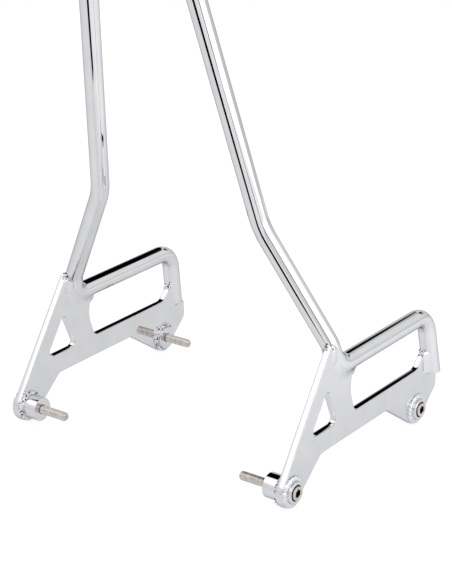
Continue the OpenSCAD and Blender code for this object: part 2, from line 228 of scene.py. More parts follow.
# The bent bar: leans in degrees, the rest in millimetres
bar = {"diameter": 15.875, "gap": 283.0, "height": 460.0, "railHeight": 82.6, "junctionForward": 68.8,
       "junctionRadius": 15.0, "neckHeight": 103.0, "neckInward": 4.9, "neckBack": 3.5694, "neckRadius": 20.0,
       "lowLean": 29.45, "highLean": 9.2, "backLean": 11.5, "kneeHeight": 196.3, "kneeRadius": 60.0,
       "frontRadius": 20.0, "footForward": 214.4, "footHeight": 26.8, "legRun": 8.4, "legOut": 3.0,
       "endRound": 0.7, "around": 72}
barRadius = bar["diameter"] / 2
sideX = bar["gap"] / 2


def tangent(degrees):
    return math.tan(math.radians(degrees))


def bendPath(corners, radii, turnStep=3.0, straightStep=12.0):
    # straight stretches joined by arcs: each arc is tangent to both stretches at its corner, sampled by angle
    corners = [np.array(p, float) for p in corners]
    runs, start = [], corners[0]
    for before, corner, after, radius in zip(corners, corners[1:], corners[2:], radii):
        u, v = unit(corner - before), unit(after - corner)
        turn = math.acos(np.clip(u @ v, -1, 1))
        cut = radius * math.tan(turn / 2)
        arcStart = corner - u * cut
        outward = unit(u - v)  # from the arc's centre to its middle
        centre = corner - outward * math.hypot(radius, cut)
        away = unit(arcStart - centre)
        count = max(2, int(np.linalg.norm(arcStart - start) / straightStep) + 1)
        runs.append(start + np.linspace(0, 1, count, endpoint=False)[:, None] * (arcStart - start))
        angle = np.linspace(0, turn, max(4, int(math.degrees(turn) / turnStep) + 1))[:, None]
        arc = centre + radius * (away * np.cos(angle) + u * np.sin(angle))
        runs.append(arc[:-1])
        start = arc[-1]
    count = max(2, int(np.linalg.norm(corners[-1] - start) / straightStep) + 1)
    runs.append(start + np.linspace(0, 1, count)[:, None] * (corners[-1] - start))
    return np.concatenate(runs)


def barCorners():
    # the right half's corners from the leg's end up, then the apex where the two uprights would meet
    foot = np.array([sideX + bar["legOut"], bar["footForward"], bar["footHeight"]])
    front = np.array([sideX, bar["footForward"] - bar["legRun"], bar["railHeight"]])
    junction = np.array([sideX, bar["junctionForward"], bar["railHeight"]])
    neck = np.array([sideX - bar["neckInward"], bar["junctionForward"] - bar["neckBack"], bar["neckHeight"]])
    lowWay, highWay = (np.array([-tangent(lean), -tangent(bar["backLean"]), 1])
                       for lean in (bar["lowLean"], bar["highLean"]))
    knee = neck + (bar["kneeHeight"] - bar["neckHeight"]) * lowWay
    apex = knee + knee[0] / tangent(bar["highLean"]) * highWay
    return foot, front, junction, neck, knee, apex


foot, front, junction, neck, knee, apex = barCorners()
backCosine = math.cos(math.radians(bar["backLean"]))
slope = math.atan(tangent(bar["highLean"]) * backCosine)
crownRadius = (apex[2] - (bar["height"] - barRadius)) / backCosine / (1 / math.sin(slope) - 1)
mirror = np.array([-1.0, 1.0, 1.0])
halfCorners = [foot, front, junction, neck, knee]
halfRadii = [bar["frontRadius"], bar["junctionRadius"], bar["neckRadius"], bar["kneeRadius"]]


def makeBar():
    # a circle carried along the path: p + r (u cos a + v sin a), whose ends are cut level and rounded over
    corners = halfCorners + [apex] + [c * mirror for c in halfCorners[::-1]]
    path = bendPath(corners, halfRadii + [crownRadius] + halfRadii[::-1])
    along = unit(np.gradient(path, axis=0))
    along[0], along[-1] = unit(front - foot), unit((foot - front) * mirror)
    u = unit(np.cross(along, [0.0, 1.0, 1.0]))
    v = np.cross(along, u)
    angle = np.linspace(0, 2 * math.pi, bar["around"], endpoint=False)[None, :, None]
    rings = path[:, None] + barRadius * (u[:, None] * np.cos(angle) + v[:, None] * np.sin(angle))
    turn = np.linspace(0, math.pi / 2, 5)[1:]
    inset, rise = bar["endRound"] * (1 - np.cos(turn)), bar["endRound"] * (1 - np.sin(turn))
    grids = []
    for end in (0, -1):
        level = bar["footHeight"]
        ring = rings[end] - along[end] * ((rings[end][:, 2] - level) / along[end][2])[:, None]
        middle = ring.mean(0)
        reach = np.linalg.norm(ring - middle, axis=1)[None, :, None]
        first = ring + along[end] * bar["endRound"] / along[end][2]
        caps = middle + (ring - middle) * (1 - inset[:, None, None] / reach)
        caps = caps + along[end] / along[end][2] * rise[:, None, None]
        stack = np.concatenate([first[None], caps])
        grids.append(stack[::-1] if end == 0 else stack)
        grids.append(middle[None])
    body = np.concatenate([grids[0], rings[1:-1], grids[2]])
    rows, cols = body.shape[:2]
    verts = np.concatenate([body.reshape(-1, 3), grids[1], grids[3]])
    faces = [gridFaces(rows, cols), *endCaps(rows, cols)]
    return makeMesh("bentBar", *turnedOut(verts, faces), chrome, "bar", "hoop_rod", flat=True)


makeBar()
print("bar made")


# The side plates, with heights above the bolts, and the sizes of the bushes that they carry. The belly's radii are
# rear and front, the grab opening's waist, rear and front, and the triangle's rear, front and top. The triangle is
# its base's height, its length and its own height
plate = {"thick": 6.35, "lobe": 14.2, "pitch": 189.0, "crestHeight": 105.0, "belly": 16.0, "bellyRear": 41.5,
         "bellyFront": 47.5, "bellyRadii": (8.0, 3.0), "noseHeight": 10.5, "noseRadius": 10.0, "rearBand": 15.5,
         "triangle": (35.0, 39.0, 35.0), "triangleRadii": (5.0, 4.0, 3.0), "grabHeight": 36.0, "grabRear": 91.2,
         "waistBack": 6.9, "waistHeight": 57.5, "wallFore": 5.4, "tongueLength": 23.4, "tongueHeight": 54.0,
         "grabRadii": (25.0, 4.5, 7.0), "crown": 0.75, "crownPower": 2.4, "intoBar": 3.0, "holeGap": 0.1,
         "footCorner": 1.2, "edgeSteps": 19}
bushSizes = {"spacer": 21.2, "rearSpacer": 15.5, "frontSpacer": 5.0, "bossOut": 4.8, "bossWall": 2.6,
             "headDiameter": 11.9, "headHeight": 7.94, "headGap": 0.95, "headProud": 1.5, "bossEdge": 0.9,
             "spacerEdge": 0.6, "boreEdge": 0.35, "boreGap": 0.25, "around": 96}
faceX = plate["thick"] / 2
bossX = faceX + bushSizes["bossOut"]
seatX = bossX + bushSizes["headProud"] - bushSizes["headHeight"]
counterbore = bushSizes["headDiameter"] / 2 + bushSizes["headGap"]
bossRadius = counterbore + bushSizes["bossWall"]


def barBack(height):
    # how far forward the uprights' axis lies at a height
    return neck[1] - (height - neck[2]) * tangent(bar["backLean"])


def legAt(height):
    # the point of the leg's axis at a height
    return front + (foot - front) * (bar["railHeight"] - height) / (bar["railHeight"] - bar["footHeight"])


def touchPoint(hole, point, side):
    # where the line from a point touches the round end at a hole
    d = np.array(point) - hole
    angle = math.atan2(d[1], d[0]) + side * math.acos(plate["lobe"] / np.linalg.norm(d))
    return hole + plate["lobe"] * np.array([math.cos(angle), math.sin(angle)])


def arcPoints(centre, radius, start, end, step=4.0):
    # points on a circle from one angle to another, in degrees: centre + r (cos a, sin a)
    count = max(3, int(abs(end - start) / step) + 1)
    angle = np.radians(np.linspace(start, end, count))
    return np.array(centre) + radius * np.stack([np.cos(angle), np.sin(angle)], -1)


def roundedLoop(entries):
    # a closed outline: an entry is (corner, radius), or a ready run of points; arcs are tangent to both sides
    ends = [(np.atleast_2d(e)[0], np.atleast_2d(e)[-1]) if isinstance(e, np.ndarray) else (np.array(e[0]),) * 2
            for e in entries]
    out = []
    for i, entry in enumerate(entries):
        if isinstance(entry, np.ndarray):
            out.append(entry)
            continue
        corner, radius = np.array(entry[0]), entry[1]
        before, after = ends[i - 1][1], ends[(i + 1) % len(ends)][0]
        if radius:
            bent = [np.append(q, 0) for q in (before, corner, after)]
            path = bendPath(bent, [radius], turnStep=5.0, straightStep=1e6)
            path = path[1:-1] if np.linalg.norm(path[0, :2] - before) < 1e-6 else path[:-1]
            out.append(path[np.linalg.norm(path[:, :2] - before, axis=1) > 0.01][:, :2])
        else:
            out.append(corner[None])
    return np.concatenate(out)


def lobeArc(hole, fromPoint, toPoint):
    # the round end from one touching point to the other, anticlockwise
    a = [math.degrees(math.atan2(q[1] - hole[1], q[0] - hole[0])) for q in (fromPoint, toPoint)]
    return arcPoints(hole, plate["lobe"], a[0], a[1] if a[1] > a[0] else a[1] + 360)


def crossing(a, b, c, d):
    # where the line a b meets the line c d
    a, b, c, d = (np.array(q, float) for q in (a, b, c, d))
    k = np.linalg.solve(np.stack([b - a, c - d], -1), c - a)[0]
    return a + k * (b - a)


rearHole, frontHole = np.array([0.0, 0.0]), np.array([plate["pitch"], 0.0])
crest = np.array([barBack(plate["crestHeight"]) - barRadius / backCosine, plate["crestHeight"]])
legTilt = math.atan(bar["legRun"] / (bar["railHeight"] - bar["footHeight"]))
noseY = bar["footForward"] + barRadius / math.cos(legTilt)
rearTouch = touchPoint(rearHole, crest, 1)
grabTop = np.array([plate["grabRear"] - plate["waistBack"] + plate["wallFore"], bar["railHeight"]])


def plateOutline():
    # the plate's own edge, which ends a little way inside the bar where the bar covers it
    bellyRear = np.array([plate["bellyRear"], plate["belly"]])
    bellyFront = np.array([plate["pitch"] - plate["bellyFront"], plate["belly"]])
    nose = np.array([noseY, plate["noseHeight"]])
    waist = np.array([plate["grabRear"] - plate["waistBack"], plate["waistHeight"]])
    floorRear = np.array([plate["grabRear"], plate["grabHeight"]])
    floorFront = np.array([bar["footForward"] - plate["tongueLength"], plate["grabHeight"]])
    rearUnder, frontUnder = touchPoint(rearHole, bellyRear, -1), touchPoint(frontHole, bellyFront, 1)
    frontOver = touchPoint(frontHole, nose, -1)
    deep = barRadius - plate["intoBar"]
    legTop, legDown = legAt(plate["tongueHeight"])[1:], unit((foot - front)[1:])
    legSide = np.array([legDown[1], -legDown[0]]) * deep
    low = crossing(foot[1:] + legSide, front[1:] + legSide, [0, bar["footHeight"]], [1, bar["footHeight"]])
    high = crossing(foot[1:] + legSide, front[1:] + legSide, floorFront, legTop)
    wallEnd = crossing(waist, grabTop, [0, bar["railHeight"] - deep], [1, bar["railHeight"] - deep])
    crestIn = np.array([barBack(plate["crestHeight"] - barRadius), plate["crestHeight"] - barRadius])
    bent = [np.append(q, 0) for q in (grabTop, junction[1:], crestIn)]
    bend = bendPath(bent, [bar["junctionRadius"]], turnStep=5.0)[:, :2]
    way = unit(np.gradient(bend, axis=0))
    hidden = bend + np.stack([-way[:, 1], way[:, 0]], -1) * deep
    waistRadius, rearRadius, frontRadius = plate["grabRadii"]
    return roundedLoop([
        lobeArc(rearHole, rearTouch, rearUnder),
        (bellyRear, plate["bellyRadii"][0]), (bellyFront, plate["bellyRadii"][1]),
        lobeArc(frontHole, frontUnder, frontOver),
        (nose, plate["noseRadius"]), ([noseY, bar["footHeight"]], plate["footCorner"]), (low, 0), (high, 0),
        (floorFront, frontRadius), (floorRear, rearRadius), (waist, waistRadius), (wallEnd, 0),
        hidden[1:], (crest, 0)])


def triangleOutline():
    # the triangular opening: its rear side runs parallel to the plate's rear edge, a band's width in
    edge = unit(crest - rearTouch)
    start = crest + plate["rearBand"] * np.array([edge[1], -edge[0]])
    base, length, height = plate["triangle"]
    rear = start + edge * (base - start[1]) / edge[1]
    top = rear + edge * height / edge[1]
    r = plate["triangleRadii"]
    return roundedLoop([(rear, r[0]), (rear + np.array([length, 0.0]), r[1]), (top, r[2])])


def outwards(loop):
    # the outward direction at each point of a loop that has the metal on its left, longer at corners by up to 2/3
    before, after = unit(loop - np.roll(loop, 1, 0)), unit(np.roll(loop, -1, 0) - loop)
    normal = unit(np.stack([before[:, 1] + after[:, 1], -before[:, 0] - after[:, 0]], -1))
    cosine = normal[:, 0] * after[:, 1] - normal[:, 1] * after[:, 0]
    return normal / np.clip(cosine, 0.6, 1)[:, None]


def makePlate(name, side, node):
    # each outline carried through the thickness along a slightly crowned profile, the superellipse
    # |across / half thickness|^p + |1 - inset / crown|^p = 1, and two flat faces between
    hole = arcPoints([0, 0], bossRadius + plate["holeGap"], start=360, end=5, step=5.0)
    loops = [plateOutline(), triangleOutline()[::-1], hole + rearHole, hole + frontHole]
    turn = np.linspace(-math.pi / 2, math.pi / 2, plate["edgeSteps"])
    inset = plate["crown"] * (1 - np.abs(np.cos(turn)) ** (2 / plate["crownPower"]))
    across = faceX * np.sign(turn) * np.abs(np.sin(turn)) ** (2 / plate["crownPower"])
    shells, flats, base = [], [], 0
    for loop in loops:
        rows = loop[None] - outwards(loop)[None] * inset[:, None, None]
        x = np.broadcast_to(across[:, None, None], (*rows.shape[:2], 1))
        shells.append(np.concatenate([x, rows], -1).reshape(-1, 3))
        flats.append((rows[0], base))
        base += rows.shape[0] * rows.shape[1]
    polygons = [[Vector((q[0], q[1], 0)) for q in ring.tolist()] for ring, _ in flats]
    picks = np.array(tessellate_polygon(polygons))
    inner = np.concatenate([start + np.arange(len(ring)) for ring, start in flats])
    outer = np.concatenate([start + (len(inset) - 1) * len(ring) + np.arange(len(ring)) for ring, start in flats])
    q = np.concatenate([ring for ring, _ in flats])[picks]
    area = np.cross(q[:, 1] - q[:, 0], q[:, 2] - q[:, 0])
    picks = np.where(area[:, None] > 0, picks, picks[:, ::-1])[np.abs(area) > 1e-9]
    walls = [gridFaces(len(inset), len(ring)) + start for ring, start in flats]
    verts = np.concatenate(shells)
    verts[:, 0] = side * (sideX + verts[:, 0])
    faces = [w[:, ::-1] for w in walls] + [outer[picks], inner[picks][:, ::-1]]
    return makeMesh(name, *turnedOut(verts, [f[:, ::-1] for f in faces]), chrome, "plate", node, flat=True)


for side, word in ((1, "right"), (-1, "left")):
    makePlate(word + "Plate", side, word + "_side_plate")
print("plates made")


# The bolts: two lengths under one socket head
bolt = {"diameter": 7.94, "pitch": 1.411, "threadDepth": 0.66, "shankStep": 0.42, "rearLength": 48.3,
        "frontLength": 36.1, "tipBevel": 1.1, "tipSlope": 0.9, "tipFlat": 0.05, "headBevel": 0.5,
        "hexAcross": 6.35, "hexDepth": 4.0, "hexBevel": 0.35, "hexCorners": 1.15, "drillCone": 1.2, "around": 96,
        "perThread": 8}


def placed(side, hole, along, radius, angle):
    # x along the bolt's axis and out from the plate, radius and angle round it
    y, z = hole[0] + radius * np.cos(angle), hole[1] + radius * np.sin(angle)
    return np.stack(np.broadcast_arrays(side * (sideX + along), y, z), -1)


def makeBush(name, side, hole, spacerLength, node):
    # the cross-section of the tube turned about the bolt's axis
    inner, spacer = -faceX - spacerLength, bushSizes["spacer"] / 2
    bore, cols = bolt["diameter"] / 2 + bushSizes["boreGap"], bushSizes["around"]
    section = roundedLoop([
        ([bore, inner], bushSizes["boreEdge"]), ([spacer, inner], bushSizes["spacerEdge"]),
        ([spacer, -faceX], 0), ([bossRadius, -faceX], 0), ([bossRadius, bossX], bushSizes["bossEdge"]),
        ([counterbore, bossX], bushSizes["boreEdge"]), ([counterbore, seatX], 0), ([bore, seatX], 0)])
    angle = np.linspace(0, 2 * math.pi, cols, endpoint=False)[None]
    grid = placed(side, hole, section[:, 1:], section[:, :1], angle)
    shell = turnedOut(grid.reshape(-1, 3), [gridFaces(len(section), cols, ring=True)])
    return makeMesh(name, *shell, chrome, "bush", node, flat=True)


def makeBolt(name, side, hole, length, spacerLength, node):
    # radius as a function of the place along the bolt and the angle: on the thread a helical groove,
    # r - depth (1 - cos(2 pi x / pitch + angle)) / 2, and inside the head a hexagon, half / cos(angle from a flat)
    cols, r = bolt["around"], bolt["diameter"] / 2
    angle = np.linspace(0, 2 * math.pi, cols, endpoint=False)[None]
    top, tip, neckX = seatX + bushSizes["headHeight"], seatX - length, -faceX - spacerLength
    count = int((neckX - tip) / bolt["pitch"] * bolt["perThread"])
    x = np.concatenate([[tip], np.linspace(tip + bolt["tipFlat"], neckX, count)])[:, None]
    groove = 0.5 - 0.5 * np.cos(2 * math.pi * x / bolt["pitch"] + side * angle)
    thread = r - bolt["threadDepth"] * groove
    thread = np.minimum(thread, r - bolt["tipBevel"] + bolt["tipSlope"] * (x - tip))
    headR, bevel, half = bushSizes["headDiameter"] / 2, bolt["headBevel"], bolt["hexAcross"] / 2
    hexagon = half / np.cos((angle + math.pi / 6) % (math.pi / 3) - math.pi / 6)
    ring = np.ones((1, cols))
    shank, socketEnd = (r - bolt["shankStep"]) * ring, top - bolt["hexDepth"]
    rows = [(x, thread), (neckX, shank), (seatX, shank), (seatX, headR * ring)]
    turn = np.linspace(0, math.pi / 2, 5)
    rows += [(top - bevel + bevel * math.sin(t), (headR - bevel + bevel * math.cos(t)) * ring) for t in turn]
    rows += [(top, hexagon + bolt["hexBevel"]), (top - bolt["hexBevel"], hexagon), (socketEnd, hexagon),
             (socketEnd - bolt["drillCone"] / 2, hexagon / 2)]
    along = np.concatenate([np.broadcast_to(a, (len(b), 1)) for a, b in rows])
    radius = np.concatenate([b for _, b in rows])
    grid = placed(side, hole, along, radius, angle)
    total = len(radius)
    ends = placed(side, hole, np.array([tip, socketEnd - bolt["drillCone"]]), 0.0, 0.0)
    verts = np.concatenate([grid.reshape(-1, 3), ends])
    faces = [gridFaces(total, cols), *endCaps(total, cols)]
    piece = makeMesh(name, *turnedOut(verts, faces), stainless, "bolt", node, flat=True, extra=[socketShade])
    # the faces inside the socket get the painted shade: within the head, and nearer the axis than its corners
    centre = np.array([q.center[:] for q in piece.data.polygons]) * 1000 - shift
    place = side * centre[:, 0] - sideX
    deep = (place < top - bolt["hexBevel"]) & (place > seatX)
    deep &= np.hypot(centre[:, 1] - hole[0], centre[:, 2] - hole[1]) < half * bolt["hexCorners"]
    piece.data.polygons.foreach_set("material_index", deep.astype(np.int32))
    return piece


# The welds: ring beads, fillet seams along the bar and lumps where a seam ends. Each lump has its half sizes, its
# roughness and how far it stands off from the place it is set by. Pairs are outer and inner face, or both ends
weld = {"ringHeight": 2.7, "ringRim": 0.35, "ringArch": 0.8, "ringRipples": 22, "ringGroove": 0.06, "ringSkew": 0.9,
        "ringLump": 0.1, "ringGrain": (0.12, 0.42), "ringLap": 0.4, "ringSink": 0.5, "grainCount": 8,
        "grainAlong": (12, 27), "grainAcross": (1, 6), "seamAngle": 56.0, "seamToe": 2.8, "seamReach": (0.8, 7.0),
        "seamSink": 0.03, "seamCore": 3.0, "seamTuck": (1.5, 1.3), "seamLump": 0.06, "seamWaves": (2.1, 1.13),
        "lumpWay": (0.5, 0.86), "bendToe": 4.2, "bendLength": 13.0, "bendEnds": (3.0, 4.0), "bendStart": 1.5,
        "bendShort": 0.02, "legToe": 2.4, "legFoot": 0.8, "legTop": 50.5, "legEnds": (3.0, 5.0),
        "crestSize": (4.3, 5.0, 5.4), "crestLump": 0.8, "crestOff": (-1.2, 3.0, -3.6),
        "patchSize": ((3.2, 7.2, 10.0), (2.0, 5.4, 6.4)), "patchLump": (0.12, 1.1), "patchSink": (2.1, -0.3),
        "patchOff": (5.0, -10.0), "railSize": (4.4, 2.6, 2.0), "railLump": 0.5, "railOff": (-0.4, -1.0, -0.4),
        "tongueSize": (3.7, 3.4, 4.0), "tongueLump": 0.8, "tongueWeld": 47.0, "tongueIn": 0.3, "blobCount": 9,
        "blobWave": 1.9, "blobSpread": (0.55, 1.2)}


def makeRingWeld(name, side, hole, face, tube, node, seed):
    # a rounded bead from the tube's wall to the plate's rim, turned about the bolt: an arched profile,
    # sin^arch(a) out and cos^arch(a) up, times slow lumps and ripples along it, plus a grain of sines that run
    # both along and across it
    cols, rows = 256, 17
    width = plate["lobe"] - weld["ringRim"] - tube
    around = np.linspace(0, 2 * math.pi, cols, endpoint=False)[None]
    a = np.linspace(0, math.pi / 2, rows)[:, None]
    pick = np.random.default_rng(seed)
    count = weld["grainCount"]
    along, across = pick.integers(*weld["grainAlong"], count), pick.uniform(*weld["grainAcross"], count)
    phase = pick.uniform(*phases, count)
    grain = np.sin(around[..., None] * along + a[..., None] * across + phase).sum(-1) / 3
    bulge = 1 + weld["ringLump"] * ripple(cols, (2, 3, 5, 7, 11), seed)[None]
    bulge = bulge - weld["ringGroove"] * np.abs(np.cos(weld["ringRipples"] / 2 * around + weld["ringSkew"] * a))
    push = weld["ringGrain"][0 if face > 0 else 1] * grain * np.sin(2 * a)
    radius = tube + width * np.minimum(np.sin(a) ** weld["ringArch"] * bulge, 1.0) + push * np.sin(a)
    rise = weld["ringHeight"] * np.cos(a) ** weld["ringArch"] * bulge + push * np.cos(a)
    lap = weld["ringLap"]
    radius = np.concatenate([radius, np.full((1, cols), tube + lap), np.full((1, cols), tube - lap)])
    rise = np.concatenate([rise, np.full((2, cols), -weld["ringSink"])])
    grid = placed(side, hole, face * (faceX + rise), radius, around)
    shell = turnedOut(grid.reshape(-1, 3), [gridFaces(len(radius), cols, ring=True)])
    return makeMesh(name, *shell, weldChrome if face > 0 else rawWeldChrome, "weld", node)


def lumpShell(centre, size, seed, lump):
    # a ball whose surface is pushed in and out by a sum of sines in set directions
    rows, cols = 40, 64
    pick = np.random.default_rng(seed)
    tilt = np.linspace(0, math.pi, rows + 2)[1:-1, None]
    around = np.linspace(0, 2 * math.pi, cols, endpoint=False)[None]
    x, y = np.sin(tilt) * np.cos(around), np.sin(tilt) * np.sin(around)
    way = np.stack(np.broadcast_arrays(x, y, np.cos(tilt)), -1)
    way = np.concatenate([way.reshape(-1, 3), [[0, 0, 1.0], [0, 0, -1.0]]])
    count = weld["blobCount"]
    waves = unit(pick.normal(size=(count, 3))) * weld["blobWave"] * pick.uniform(*weld["blobSpread"], (count, 1))
    push = np.sin(way * np.array(size) @ waves.T + pick.uniform(*phases, count)).sum(1) / 4
    verts = np.array(centre) + way * np.array(size) * (1 + lump * push / np.mean(size))[:, None]
    return turnedOut(verts, [gridFaces(rows, cols), *endCaps(rows, cols)])


def seamShell(path, face, ends, toe, seed):
    # a hollow seam between bar and plate: at each place a curve that leaves the bar and runs out flat on the
    # plate, P = (1-b)^2 P0 + 2b(1-b) P1 + b^2 P2, drawn in to the corner between them at both ends of the seam
    way = unit(np.gradient(path, axis=0))
    toPlate = unit(np.stack([0 * way[:, 0], -way[:, 2], way[:, 1]], -1))
    out = np.array([float(face), 0.0, 0.0])
    plane = faceX - face * (path[:, 0] - sideX)
    a = math.radians(weld["seamAngle"])
    start = np.array([barRadius * math.cos(a), barRadius * math.sin(a)])
    reach = np.clip((start[1] - plane) / math.cos(a), *weld["seamReach"])
    p0 = np.broadcast_to(start, (len(path), 2))
    p1 = np.stack([start[0] + reach * math.sin(a), plane], -1)
    p2 = np.stack([p1[:, 0] + toe, plane - weld["seamSink"]], -1)
    inward = np.sqrt(np.maximum(barRadius ** 2 - plane ** 2, weld["seamCore"] ** 2))
    corner = np.stack([inward, np.minimum(plane, barRadius)], -1)
    b = np.linspace(0, 1, 13)[:, None, None]
    curve = (1 - b) ** 2 * p0 + 2 * b * (1 - b) * p1 + b ** 2 * p2
    length = np.concatenate([[0], np.cumsum(np.linalg.norm(np.diff(path, axis=0), axis=1))])
    rounding = np.clip(np.minimum(length / ends[0], (length[-1] - length) / ends[1]), 0, 1)
    taper = np.sqrt(1 - (1 - rounding) ** 2)[None, :, None]
    quick, slow = weld["seamWaves"]
    waves = np.sin(length * quick + seed) + np.sin(length * slow + 2 * seed)
    lumps = weld["seamLump"] * waves[None, :, None] * np.sin(math.pi * b)
    curve = corner + taper * (curve + lumps * np.array(weld["lumpWay"]) - corner)
    curve = np.concatenate([curve, (corner - np.array(weld["seamTuck"]))[None]])
    grid = path[None] + curve[..., :1] * toPlate[None] + curve[..., 1:] * out
    grid = np.swapaxes(grid, 0, 1)
    rows, cols = grid.shape[:2]
    verts = np.concatenate([grid.reshape(-1, 3), grid[0].mean(0)[None], grid[-1].mean(0)[None]])
    return turnedOut(verts, [gridFaces(rows, cols), *endCaps(rows, cols)])


def makeSeams(name, side, node, seams, lumps):
    # smooth plated seams first, then lumps in the rougher weld finish, whose pits are painted black as painted shade
    verts, faces = joinShells([mirrored(s, side) for s in seams + lumps])
    piece = makeMesh(name, verts, faces, chrome, "weld", node, extra=[rawWeldChrome])
    smooth = sum(len(f) for _, parts in seams for f in parts)
    raw = np.arange(len(piece.data.polygons)) >= smooth
    piece.data.polygons.foreach_set("material_index", raw.astype(np.int32))
    return piece


def mirrored(shell, side):
    # the right side's shell, or for the left its mirror image with its faces turned back outwards
    verts, faces = shell
    return (verts, faces) if side > 0 else (verts * mirror, [f[:, ::-1] for f in faces])


def makeJunctionWeld(name, side, node):
    # seams on both faces from the plate's top corner round the bend and along the rail, with lumps at both ends
    start = np.array([sideX, grabTop[0] + weld["bendStart"], bar["railHeight"]])
    corners = [start, junction, neck + (neck - junction) * weld["bendShort"]]
    path = bendPath(corners, [bar["junctionRadius"]], turnStep=4.0, straightStep=1.0)
    fromBend = np.linalg.norm(path - junction, axis=1)
    toe = weld["seamToe"] + weld["bendToe"] * np.exp(-(fromBend / weld["bendLength"]) ** 2)
    seams = [seamShell(path, face, weld["bendEnds"], toe, 1.7 + face) for face in (1, -1)]
    atCrest = np.array([sideX, crest[0], plate["crestHeight"]]) + weld["crestOff"]
    atRail = np.array([sideX, grabTop[0], bar["railHeight"] - barRadius]) + weld["railOff"]
    lumps = [lumpShell(atCrest, weld["crestSize"], 11, weld["crestLump"]),
             lumpShell(atRail, weld["railSize"], 12, weld["railLump"])]
    # the patch beside the crest is dressed smooth on the outer face and left lumpy on the inner one
    fore, up = weld["patchOff"]
    patches = zip((1, -1), (seams, lumps), weld["patchSize"], weld["patchSink"], weld["patchLump"])
    for face, group, size, sink, lump in patches:
        place = [sideX + face * (faceX - sink), crest[0] + fore, plate["crestHeight"] + up]
        group.append(lumpShell(place, size, 14 + face, lump))
    return makeSeams(name, side, node, seams, lumps)


def makeLegWeld(name, side, node):
    # seams on both faces beside the leg, and a lump on top of the tongue
    low, high = legAt(bar["footHeight"] + weld["legFoot"]), legAt(weld["legTop"])
    path = low + np.linspace(0, 1, 40)[:, None] * (high - low)
    seams = [seamShell(path, face, weld["legEnds"], weld["legToe"], 0.6 + face) for face in (1, -1)]
    height = weld["tongueWeld"]
    place = [sideX, legAt(height)[1] - barRadius + weld["tongueIn"], height]
    return makeSeams(name, side, node, seams, [lumpShell(place, weld["tongueSize"], 13, weld["tongueLump"])])


# Each bolt's place, its spacer and its length, rear and front
spots = [("Rear", rearHole, bushSizes["rearSpacer"], bolt["rearLength"]),
         ("Front", frontHole, bushSizes["frontSpacer"], bolt["frontLength"])]
for side, word in ((1, "right"), (-1, "left")):
    for index, (end, hole, spacerLength, boltLength) in enumerate(spots):
        name, node, seed = word + end, word + "_" + end.lower(), 20 + 4 * index + side
        makeBush(name + "Bush", side, hole, spacerLength, node + "_bush")
        makeBolt(name + "Bolt", side, hole, boltLength, spacerLength, node + "_bolt")
        makeRingWeld(name + "OuterWeld", side, hole, 1, bossRadius, node + "_outer_weld", seed)
        makeRingWeld(name + "InnerWeld", side, hole, -1, bushSizes["spacer"] / 2, node + "_inner_weld", seed + 20)
    makeJunctionWeld(word + "JunctionWeld", side, word + "_junction_weld")
    makeLegWeld(word + "LegWeld", side, word + "_leg_weld")
print("bushes, bolts and welds made")


# The floor and what the chrome mirrors, in metres on the part's own origin
studio = {"floorRadius": 1.7, "floorSides": 96, "floorDrop": 0.0002, "floorGlow": 0.82, "floorSheen": 0.08,
          "mirroredGlow": (0.487, 0.645), "mirroredX": (0.08, 0.3), "sheetLift": 0.0005, "cardX": 1.25,
          "cardY": (-0.62, 0.78), "cardHeight": 1.3, "cardGlow": 1.4, "frameWidth": 0.17, "gapX": (0.14, 0.125),
          "gapY": (-0.33, -1.3), "gapWidth": (0.1, 0.62), "gapSlant": 0.045, "footStart": (0.6, -0.29),
          "footEnd": (1.2, -0.74), "footWidth": 0.1}


def makeSheet(name, points, material, hidden=True):
    # a flat stage sheet; hidden ones are seen by mirrors alone and cast no shadow
    mesh = bpy.data.meshes.new(name)
    mesh.from_pydata(points, [], [list(range(len(points)))])
    mesh.materials.append(material)
    sheet = bpy.data.objects.new(name, mesh)
    scene.collection.objects.link(sheet)
    if hidden:
        for ray in ("camera", "diffuse", "shadow", "transmission"):
            setattr(sheet, "visible_" + ray, False)
    return sheet


def glowMaterial(name, color, strength):
    # a sheet that gives off one plain colour
    material = bpy.data.materials.new(name)
    material.use_nodes = True
    tree = material.node_tree
    tree.nodes.remove(tree.nodes["Principled BSDF"])
    glow = addNode(tree, "ShaderNodeEmission", {"Color": hexColor(color), "Strength": strength})
    tree.links.new(glow.outputs["Emission"], tree.nodes["Material Output"].inputs["Surface"])
    return material


